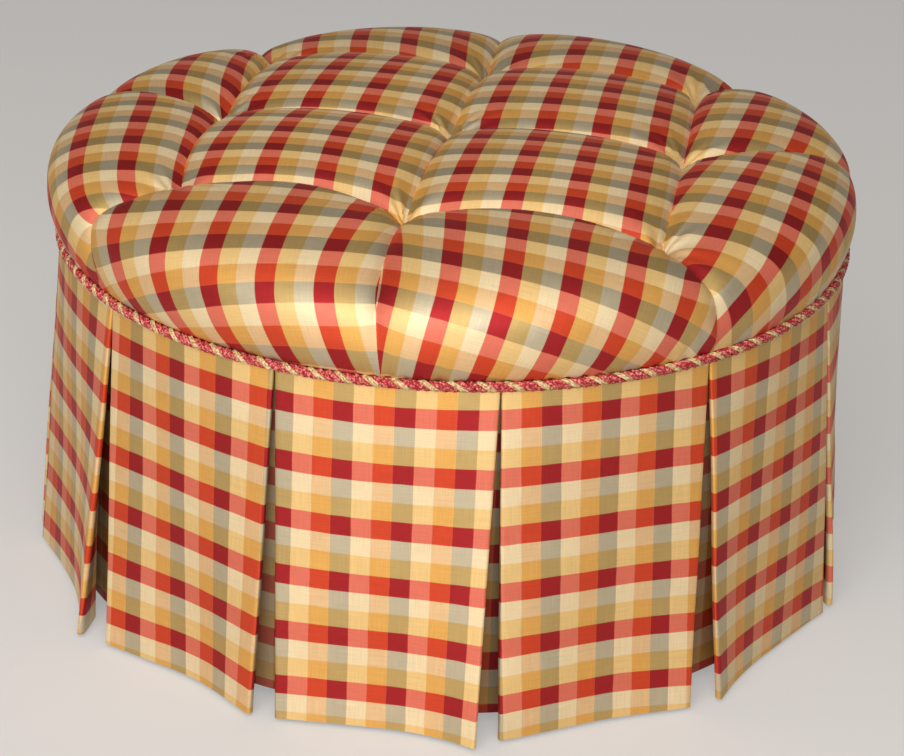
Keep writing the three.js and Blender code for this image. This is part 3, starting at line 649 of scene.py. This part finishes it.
# %% The tufted cushion
cushion_grids = []
for row in (-1, 0):
    for column in (-1, 0):
        cushion_grids.append(inner_puff(column, row))
for k in range(8):
    cushion_grids.append(outer_puff(k))
cushion_grids = [(points, laid(cloth, puff)) for puff, (points, cloth) in enumerate(cushion_grids)]
cushion_mesh = grids_to_mesh("tufted_cushion", cushion_grids)
cushion = add_piece(cushion_mesh, "tufted_cushion")
cushion_mesh.materials.append(plaid_silk)
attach(cushion, "root")
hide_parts("cushion_cover", "foam_core")
print("cushion faces:", len(cushion_mesh.polygons))

# %% [markdown]
# The skirt is twelve separate lined panels, hung edge to edge under the cord. Pressed
# folds turn each side edge back behind its face. At the top the panels follow the round;
# at the hem each one is nearly straight and its corners kick out, which opens the
# pleats to the backing cloth behind. Cloth that hangs never repeats itself, so each
# panel has its own flare, kicks and tapers, and where nobody can see them they come
# from a seeded draw.

# %% Hung cloth
panel_count = 12
first_turn = math.radians(2)
panel_pitch = TURN / panel_count
cloth_thickness = 1.8 * MM
panel_radius = cord_radius - cloth_thickness / 2
panel_half = panel_radius * panel_pitch / 2 - 1.4 * MM
return_width = 26 * MM
fold_radius, fold_opening = 1.4 * MM, 9 * MM
backing_half = 62 * MM
ripple_depth, ripple_length = 2.2 * MM, 0.16
panel_shapes = {
    10: (12, 6, 19, 6, -9), 11: (14, 9, 8, 16, -3), 0: (18, 4, 18, 9, 4),
    1: (19, 1, 5, -1, 11), 2: (14, 14, 2, 1, -6), 3: (14, 8, 6, 6, 6),
}


def panel_shape(k):
    """Flare of the middle, kick and taper of the left and the right edge, at the hem."""
    draw = np.random.default_rng(40 + k)
    drawn = (16, 8, 8, 6, 6) + draw.uniform(-4, 4, 5)
    return np.array(panel_shapes.get(k, drawn)) * MM


def skirt_points(across, depth, drop, half, radius, shape):
    """Plan points of a panel at a drop from 0 at the top to 1 at the hem."""
    flare, left_kick, right_kick, left_taper, right_taper = shape
    turn = across / radius
    share = np.clip(across / half, -1, 1)
    kick = np.where(share < 0, left_kick, right_kick) * share ** 2
    round_x, round_y = (radius - depth) * np.sin(turn), (radius - depth) * np.cos(turn)
    taper = (left_taper * (1 - share) - right_taper * (1 + share)) / 2
    straight_x, straight_y = across + taper, radius + flare + kick - depth
    return np.stack([round_x + (straight_x - round_x) * drop,
                     round_y + (straight_y - round_y) * drop], -1)


def offset_grid(grid, distance):
    """A grid of plan points, one line for each level, moved square to its lines."""
    along = np.gradient(grid, axis=1)
    along /= np.linalg.norm(along, axis=2)[..., None]
    side = np.stack([-along[..., 1], along[..., 0]], -1)
    return grid + side * distance


def hang(plan, levels, turn):
    """Plan points at their levels, turned to the place of the piece."""
    x, y = plan[..., 0], -plan[..., 1]
    c, s = math.cos(turn), math.sin(turn)
    level = np.broadcast_to(levels[:, None], x.shape)
    return np.stack([x * c - y * s, x * s + y * c, level], -1)


def thick_sheet(name, plan, levels, turn, thickness, cloth):
    """A sheet with two faces and closed edges."""
    front = hang(offset_grid(plan, thickness / 2), levels, turn)
    back = hang(offset_grid(plan, -thickness / 2), levels, turn)

    def band(a, b):
        return np.stack([a, b], 0)

    grids = [(front, cloth, 0), (back, cloth, 1)]
    for pick in (np.s_[0, :], np.s_[-1, :], np.s_[:, 0], np.s_[:, -1]):
        grids.append((band(front[pick], back[pick]), band(cloth[pick], cloth[pick]), 0))
    return grids_to_mesh(name, grids, weld=0.01 * MM, crease=60)


def panel_section(drop):
    """The line of a panel across and its depth behind the face, with the folds."""
    radius = fold_radius * (1 + drop)
    bend = np.linspace(0, math.pi, 7)[1:-1]
    back = np.linspace(0, 1, 9)
    fold_across = panel_half + radius * (np.sin(bend) - 1) * 0.6
    fold_depth = radius * (1 - np.cos(bend))
    back_across = panel_half - 0.6 * radius - back * return_width
    back_depth = 2 * radius + fold_opening * drop * back
    edge_across = np.concatenate([fold_across, back_across])
    edge_depth = np.concatenate([fold_depth, back_depth])
    face = np.linspace(-1, 1, 71) * (panel_half - 0.6 * radius)
    across = np.concatenate([-edge_across[::-1], face, edge_across])
    depth = np.concatenate([edge_depth[::-1], np.zeros(71), edge_depth])
    return across, depth


def skirt_panel(k):
    turn = first_turn + k * panel_pitch
    drops = np.linspace(0, 1, 57)
    plan = []
    for drop in drops:
        across, depth = panel_section(drop)
        line = skirt_points(across, depth, drop, panel_half, panel_radius, panel_shape(k))
        ripple = drift(across + 9 * k, np.full_like(across, 0.3 * drop), 70 + k, ripple_length)
        line[:, 1] += ripple_depth * drop ** 0.8 * ripple
        plan.append(line)
    plan = np.array(plan)
    levels = skirt_top + (skirt_hem - skirt_top) * drops
    u = arc_lengths(plan, 1) + panel_half
    v = np.broadcast_to((levels - skirt_hem + hem_start)[:, None], plan.shape[:2])
    cloth = hung_lay(np.stack([u, v], -1), k)
    return thick_sheet(f"skirt_cloth_{k + 1}", plan, levels, turn, cloth_thickness, cloth)


# %% How the plaid hangs on each panel
# Start and lean of the warp, then start, tilt and sag of the weft, in repeats of the plaid.
hem_start = 2 * stripe - 8 * MM
panel_lays = {
    10: (0.21, 0.08, 0.11, -0.11, 0.13), 11: (0.44, 0.01, 0.03, -0.04, 0.05),
    0: (0.01, 0.01, 0.01, -0.01, -0.03), 1: (0.28, -0.09, -0.03, 0.05, 0.11),
    2: (-0.02, 0.10, 0.05, 0.09, 0.03),
}


def hung_lay(cloth, k):
    """A cloth map shifted and leaned as this panel was cut."""
    s = np.linspace(-1, 1, cloth.shape[0])[:, None]
    t = np.linspace(-1, 1, cloth.shape[1])[None, :]
    drawn = ((k * 0.457) % 1, 0, 0, 0, 0)
    start, lean, weft_start, tilt, sag = panel_lays.get(k, drawn)
    warp = start + lean * s + 0 * t
    weft = weft_start + tilt * t + sag * t ** 2 + 0 * s
    return cloth + repeat * np.stack([warp, weft], -1)


for k in range(panel_count):
    mesh = skirt_panel(k)
    piece = add_piece(mesh, f"skirt_cloth_{k + 1}")
    mesh.materials.append(plaid_silk)
    mesh.materials.append(lining)
    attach(piece, "root")
    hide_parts(f"skirt_panel_{k + 1}")
    2 * (panel_half + return_width)

# %% [markdown]
# Behind each pleat hangs a narrow piece of the same silk, so an open pleat shows plaid
# and no carpentry. It lies in the shade and has to be wider than the gap only, so a
# plain curved sheet that flares less than the panels is enough. Its silk is painted at
# half brightness, as painted shade for the deep shadow in the pleats.

# %% Backings behind the pleats
backing_low, backing_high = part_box("pleat_backing_1")
backing_flare, backing_inset, backing_thickness = 7 * MM, 8.1 * MM, 1.6 * MM


def pleat_backing(k):
    turn = first_turn + (k + 0.5) * panel_pitch
    radius = cord_radius - backing_inset
    drops = np.linspace(0, 1, 30)
    sweep = np.linspace(-backing_half, backing_half, 31) / radius
    out = radius + backing_flare * drops[:, None]
    plan = np.stack([out * np.sin(sweep), out * np.cos(sweep)], -1)
    levels = backing_high.z + (backing_low.z - backing_high.z) * drops
    u = np.broadcast_to(sweep * radius + k * stripe, plan.shape[:2])
    v = np.broadcast_to((levels - skirt_hem)[:, None], plan.shape[:2])
    cloth = np.stack([u, v], -1)
    return thick_sheet(f"backing_cloth_{k + 1}", plan, levels, turn, backing_thickness, cloth)


for k in range(panel_count):
    mesh = pleat_backing(k)
    piece = add_piece(mesh, f"backing_cloth_{k + 1}")
    mesh.materials.append(shaded_backing_silk)
    mesh.materials.append(lining)
    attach(piece, "root")
    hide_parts(f"pleat_backing_{k + 1}")

# %% [markdown]
# A twisted cord hides the seam between cushion and skirt. It has three strands, two of
# mottled red and one of pale gold, and each strand is a bundle of finer yarns. Geometry
# Nodes lay it: a circle for each strand is pushed out of its round by its place in the
# twist, and a lobed section is swept along it.

# %% Cord yarns
def yarn(name, dark, middle, light):
    """A dull silky yarn, flecked, with painted shade between its lobes."""
    thread = Finish(name, Specular_IOR_Level=0.35)
    place = thread.place()
    lobe = thread.node("ShaderNodeAttribute", {"attribute_name": "lobe"}, output=2)
    fleck = thread.noise(place, 520.0, 2.0, 0.6)
    stops = [(0.38, dark), (0.5, middle), (0.64, light)]
    colour = thread.node("ShaderNodeValToRGB", {"stops": stops}, {0: fleck})
    # Darker in the grooves between the lobes: painted shade.
    thread.set("Base Color", thread.shade(colour, 0.86 + lobe * 0.14))
    thread.set("Roughness", 0.5 + fleck * 0.2)
    hairs = thread.noise(place, 1800.0, 2.0)
    thread.set("Normal", thread.bump(hairs, 0.2 * MM, 0.6))
    return thread.material


red_yarn = yarn("red_yarn", linear(150, 26, 42), linear(214, 62, 70), linear(244, 168, 146))
gold_yarn = yarn("gold_yarn", linear(186, 130, 80), linear(238, 204, 144), linear(252, 232, 186))

# %% The tree that lays the cord
cord_level = cord_high.z - cord_diameter / 2
cord_leads = 98
steps_per_lead = 12
yarn_twist = 0.5
yarns_per_strand = 5
yarn_bulge = 0.12


def tree_inputs(group, names):
    """Float inputs for a tree and one mesh output; gives the inputs as values."""
    for name in names:
        group.interface.new_socket(name, in_out="INPUT", socket_type="NodeSocketFloat")
    group.interface.new_socket("Mesh", in_out="OUTPUT", socket_type="NodeSocketGeometry")
    nodes = Nodes(group)
    source = group.nodes.new("NodeGroupInput")
    return nodes, {name: Value(nodes, source.outputs[name]) for name in names}


def scaled(nodes, vector, factor):
    return nodes.node("ShaderNodeVectorMath", {"operation": "SCALE"}, {0: vector, 3: factor})


def stored(nodes, geometry, name, value):
    inputs = {"Geometry": geometry, "Name": name, "Value": value}
    return nodes.node("GeometryNodeStoreNamedAttribute", inputs=inputs)


def strand(nodes, sizes, number):
    """One strand: a circle wound round the cord's middle, with its section swept along."""
    index = nodes.node("GeometryNodeInputIndex")
    place = nodes.node("GeometryNodeInputPosition")
    circle = nodes.node("GeometryNodeCurvePrimitiveCircle",
                        inputs={"Resolution": cord_leads * steps_per_lead, "Radius": sizes["Round"]})
    twist = index * (-TURN / steps_per_lead) + number * TURN / 3
    outward = nodes.node("ShaderNodeVectorMath", {"operation": "NORMALIZE"}, {0: place})
    aside = scaled(nodes, outward, nodes.maths("COSINE", twist) * sizes["Lay"])
    rise = nodes.sine(twist) * sizes["Lay"] + sizes["Level"]
    lifted = nodes.node("ShaderNodeCombineXYZ", inputs={2: rise})
    offset = nodes.node("ShaderNodeVectorMath", {"operation": "ADD"}, {0: aside, 1: lifted})
    wound = nodes.node("GeometryNodeSetPosition", inputs={"Geometry": circle, "Offset": offset})
    turned = nodes.node("GeometryNodeSetCurveTilt",
                        inputs={"Curve": wound, "Tilt": index * (TURN / steps_per_lead * yarn_twist)})
    pale = stored(nodes, turned, "pale", float(number == 2))
    points = yarns_per_strand * 4
    section = nodes.node("GeometryNodeCurvePrimitiveCircle",
                         inputs={"Resolution": points, "Radius": sizes["Strand"]})
    lobe = nodes.maths("COSINE", index * (TURN * yarns_per_strand / points))
    lobed = scaled(nodes, place, 1 + lobe * yarn_bulge)
    section = nodes.node("GeometryNodeSetPosition", inputs={"Geometry": section, "Position": lobed})
    # Kept for the yarn finish, which paints shade in the grooves between the lobes.
    section = stored(nodes, section, "lobe", lobe)
    return nodes.node("GeometryNodeCurveToMesh", inputs={"Curve": pale, "Profile Curve": section})


def cord_tree():
    group = bpy.data.node_groups.new("twisted_cord", "GeometryNodeTree")
    nodes, sizes = tree_inputs(group, ("Round", "Level", "Lay", "Strand"))
    joined = nodes.node("GeometryNodeJoinGeometry")
    for number in range(3):
        nodes.feed(joined.socket.node.inputs[0], strand(nodes, sizes, number))
    whole = nodes.node("GeometryNodeRealizeInstances", inputs={0: joined})
    smooth = nodes.node("GeometryNodeSetShadeSmooth", inputs={0: whole})
    is_pale = nodes.node("GeometryNodeInputNamedAttribute", {"data_type": "FLOAT"}, {0: "pale"})
    red = nodes.node("GeometryNodeSetMaterial", inputs={0: smooth, "Material": red_yarn})
    both = nodes.node("GeometryNodeSetMaterial",
                      inputs={0: red, "Selection": is_pale, "Material": gold_yarn})
    nodes.feed(group.nodes.new("NodeGroupOutput").inputs[0], both)
    return group


def grown(name, group, sizes):
    """The plain mesh that a tree makes, as a new piece."""
    seed = add_piece(bpy.data.meshes.new(name + "_seed"), name + "_seed")
    modifier = seed.modifiers.new("tree", "NODES")
    modifier.node_group = group
    sockets = {item.name: item.identifier for item in group.interface.items_tree}
    for key, value in sizes.items():
        modifier[sockets[key]] = value
    graph = bpy.context.evaluated_depsgraph_get()
    mesh = bpy.data.meshes.new_from_object(seed.evaluated_get(graph))
    bpy.data.objects.remove(seed)
    mesh.name = name
    return add_piece(mesh, name)


# %% The twisted cord
strand_radius = cord_diameter / 4.3
cord_sizes = {"Round": cord_radius, "Level": cord_level, "Lay": 1.12 * strand_radius,
              "Strand": strand_radius}
twisted_cord = grown("twisted_cord", cord_tree(), cord_sizes)
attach(twisted_cord, "root")
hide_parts("trim_cord")
print("cord faces:", len(twisted_cord.data.polygons))

# %% [markdown]
# The carpentry keeps the shapes that it was built with. Its wood is grained along each
# piece: a noise is stretched along the grain and folded into lines, which lie wide in the
# plywood's veneer, closer in the solid pine and closest under the brown stain of the feet.

# %% Wood, metal and card
def wood(name, pale, dark, axis, ring, rough=0.55):
    """Grain lines that run along an axis and wander in waves about a ring wide."""
    timber = Finish(name)
    place = timber.place()
    squeeze = [1.0, 1.0, 1.0]
    squeeze[axis] = 0.06
    grain = timber.noise(timber.stretched(place, tuple(squeeze)), 1 / ring, 4.0, 0.6)
    pores = timber.noise(timber.stretched(place, tuple(squeeze)), 6 / ring, 3.0, 0.7)
    lines = timber.sine(grain * 40.0) * 0.5 + 0.5
    timber.set("Base Color", timber.mix(lines * 0.55 + pores * 0.35, pale, dark))
    timber.set("Roughness", rough + pores * 0.15)
    timber.set("Normal", timber.bump(pores, 0.15 * MM, 0.5))
    return timber.material


def plain(name, colour, rough, metal=0.0, grain=300.0, depth=0.05 * MM):
    """A plain material with a fine uneven face."""
    made = Finish(name, Metallic=metal)
    place = made.place()
    cloud = made.noise(place, 18.0, 3.0)
    fine = made.noise(place, grain, 3.0)
    made.set("Base Color", made.shade(colour, 0.84 + cloud * 0.2 + fine * 0.12))
    made.set("Roughness", rough + cloud * 0.12)
    made.set("Normal", made.bump(fine, depth, 0.5))
    return made.material


veneer = wood("veneer", linear(222, 190, 142), linear(176, 134, 86), 0, 40 * MM)
pine = wood("pine", linear(226, 196, 146), linear(190, 146, 92), 1, 22 * MM)
pine_post = wood("pine_post", linear(226, 196, 146), linear(190, 146, 92), 2, 22 * MM)
stained = wood("stained_beech", linear(104, 62, 36), linear(62, 34, 20), 2, 9 * MM, 0.35)
zinc = plain("zinc_steel", linear(186, 190, 194), 0.32, 1.0, 400.0)
nylon = plain("nylon", linear(58, 55, 52), 0.45)
card = plain("tack_card", linear(176, 150, 112), 0.8, 0.0, 260.0, 0.1 * MM)


def woven(name, colour, pitch):
    """A plain weave: warp and weft bulge in turn, with painted shade in the hollows between them."""
    cloth = Finish(name)
    x, y, _ = cloth.parts(cloth.place())
    weave = cloth.sine(x * (TURN / pitch)) * cloth.sine(y * (TURN / pitch))
    cloud = cloth.noise(cloth.place(), 14.0, 3.0)
    # The weave term darkens the hollows of the weave: painted shade.
    cloth.set("Base Color", cloth.shade(colour, 0.85 + weave * 0.12 + cloud * 0.2))
    cloth.set("Roughness", 0.8 + cloud * 0.1)
    cloth.set("Normal", cloth.bump(weave, 0.15 * MM, 0.6))
    return cloth.material


def twine(name, colour, lay):
    """Two plies that wind round each other down the tie, with painted shade in the groove between them."""
    string = Finish(name)
    x, y, z = string.parts(string.place())
    plies = string.sine((z + (x + y) * 0.7) * (TURN / lay))
    # The plies term darkens the groove between the plies: painted shade.
    string.set("Base Color", string.shade(colour, 0.85 + plies * 0.15))
    string.set("Roughness", 0.75 + plies * 0.05)
    string.set("Normal", string.bump(plies, 0.3 * MM, 0.7))
    return string.material


cambric = woven("cambric", linear(58, 56, 60), 0.9 * MM)
flax = twine("flax_twine", linear(214, 196, 156), 2.4 * MM)

# %% Finishes of the carpentry
finishes = {
    "deck": veneer, "side_hoop": veneer, "lower_ring": veneer, "post": pine_post,
    "deck_rail": pine, "foot": stained, "hanger_bolt": zinc, "glide": nylon,
    "dust_cover": cambric, "tuft_tie": flax, "tack_strip": card,
}
for name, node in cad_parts.items():
    for start, material in finishes.items():
        if name.startswith(start):
            for slot in node.material_slots:
                slot.material = material

# %% [markdown]
# The camera stands where the photograph was taken: above and in front, turned ten degrees
# about the tuffet, with a slight roll. It was found from two level circles, the cord and
# the hem, so its numbers are kept as they were measured.

# %% Camera
picture_width = 904
focal_pixels = 2600
pitch, roll, swing = 0.44186, 0.03509, math.radians(10)
camera_place = Vector((0.0042, -2.413, 1.311))
forward = Vector((0, math.cos(pitch), -math.sin(pitch)))
right, up = Vector((1, 0, 0)), Vector((0, math.sin(pitch), math.cos(pitch)))
rolled_right = math.cos(roll) * right + math.sin(roll) * up
rolled_up = math.cos(roll) * up - math.sin(roll) * right
spin = Matrix.Rotation(swing, 4, "Z")
pose = Matrix((rolled_right, rolled_up, -forward)).transposed().to_4x4()
pose.translation = camera_place
camera_data = bpy.data.cameras.new("camera")
camera_data.sensor_width = 36
camera_data.lens = camera_data.sensor_width * focal_pixels / picture_width
camera = bpy.data.objects.new("camera", camera_data)
camera.matrix_world = spin @ pose
bpy.context.scene.collection.objects.link(camera)
bpy.context.scene.camera = camera

# %% [markdown]
# The studio is one pale sweep: a round floor that curves up into a low wall. A little
# glow keeps it pale where the lamps don't reach. It bounces less light than it shows, so
# the skirt keeps its shade below, and the shadow under the skirt stays.

# %% Floor and backdrop
floor_radius, cove_radius, wall_height = 6.0, 1.0, 2.4
sweep_sides = 96
glow_share, glow_strength = 0.45, 0.9


def studio_sweep():
    bend = np.linspace(0, math.pi / 2, 16)
    radius = np.concatenate([[0.0], floor_radius + cove_radius * np.sin(bend)])
    level = np.concatenate([[0.0], cove_radius * (1 - np.cos(bend))])
    radius = np.append(radius, floor_radius + cove_radius)
    level = np.append(level, wall_height)
    turn = np.linspace(0, TURN, sweep_sides + 1)[:, None]
    points = np.stack([radius * np.cos(turn), radius * np.sin(turn), level + 0 * turn], -1)
    steps = np.arange(sweep_sides), np.arange(len(radius) - 1)
    corners = np.stack(np.meshgrid(*steps, indexing="ij"), -1)
    faces = [[(a, b), (a + 1, b), (a + 1, b + 1), (a, b + 1)] for a, b in corners.reshape(-1, 2)]
    index = [[int(i * len(radius) + j) for i, j in face] for face in faces]
    mesh = bpy.data.meshes.new("studio_sweep")
    mesh.from_pydata(points.reshape(-1, 3).tolist(), [], index)
    work = bmesh.new()
    work.from_mesh(mesh)
    bmesh.ops.remove_doubles(work, verts=work.verts, dist=MM)
    bmesh.ops.recalc_face_normals(work, faces=work.faces)
    if sum(face.normal.z for face in work.faces) < 0:
        bmesh.ops.reverse_faces(work, faces=work.faces)
    for face in work.faces:
        face.smooth = True
    work.to_mesh(mesh)
    work.free()
    return mesh


floor = add_piece(studio_sweep(), "floor")
pale = Finish("pale_floor", Roughness=0.9)
mottle = pale.noise(pale.place(), 3.0, 4.0)
rays = pale.node("ShaderNodeLightPath").socket.node.outputs
looked_at = [Value(pale, rays[name]) for name in
             ("Is Camera Ray", "Is Glossy Ray", "Is Transmission Ray")]
seen = pale.maths("MINIMUM", looked_at[0] + looked_at[1] + looked_at[2], 1.0)
colour = pale.mix(seen, linear(150, 134, 112), linear(228, 223, 215))
pale.set("Base Color", pale.shade(colour, 0.97 + mottle * 0.06))
glow = pale.node("ShaderNodeEmission", inputs={"Color": (0.83, 0.82, 0.81, 1), "Strength": glow_strength})
surface = Value(pale, pale.shader.outputs[0])
both = pale.node("ShaderNodeMixShader", inputs={0: seen * glow_share, 1: surface, 2: glow})
pale.feed(pale.tree.nodes["Material Output"].inputs["Surface"], both)
floor.data.materials.append(pale.material)

# %% [markdown]
# Satin shows where its light comes from. The strongest lamp stands beside the camera and
# makes the front panels gleam, and a weaker one high in front lights the top of the
# cushion. Both are broad, which keeps the highlights soft. Faint lamps from the left and
# from behind keep the far puffs apart.

# %% Light
warm_air, air_strength = (1.0, 0.88, 0.72, 1), 0.08
world = bpy.data.worlds.new("studio")
bpy.context.scene.world = world
world.use_nodes = True
world.node_tree.nodes["Background"].inputs["Color"].default_value = warm_air
world.node_tree.nodes["Background"].inputs["Strength"].default_value = air_strength


def lamp(name, azimuth, elevation, distance, size, power, colour):
    """A round lamp aimed at the tuffet; azimuth 0 is the front and +90 is +X."""
    across, up = math.radians(azimuth), math.radians(elevation)
    middle = Vector((0, 0, 0.3))
    away = Vector((math.cos(up) * math.sin(across), -math.cos(up) * math.cos(across), math.sin(up)))
    data = bpy.data.lights.new(name, "AREA")
    data.shape = "DISK"
    data.size = size
    data.energy = power
    data.color = colour
    made = bpy.data.objects.new(name, data)
    made.location = middle + away * distance
    made.rotation_euler = (-away).to_track_quat("-Z", "Y").to_euler()
    made.visible_camera = False
    bpy.context.scene.collection.objects.link(made)
    return made


lamp("front_lamp", 0, 24, 3.0, 3.0, 80, (0.98, 0.99, 1.03))
lamp("high_lamp", 0, 66, 2.8, 3.0, 30, (1.0, 0.97, 0.92))
lamp("left_lamp", -70, 35, 2.8, 1.4, 3, (1.0, 0.95, 0.86))
lamp("back_lamp", 180, 43, 2.8, 0.8, 1.3, (1.0, 1.0, 1.0))

bpy.context.scene.view_settings.view_transform = "Standard"
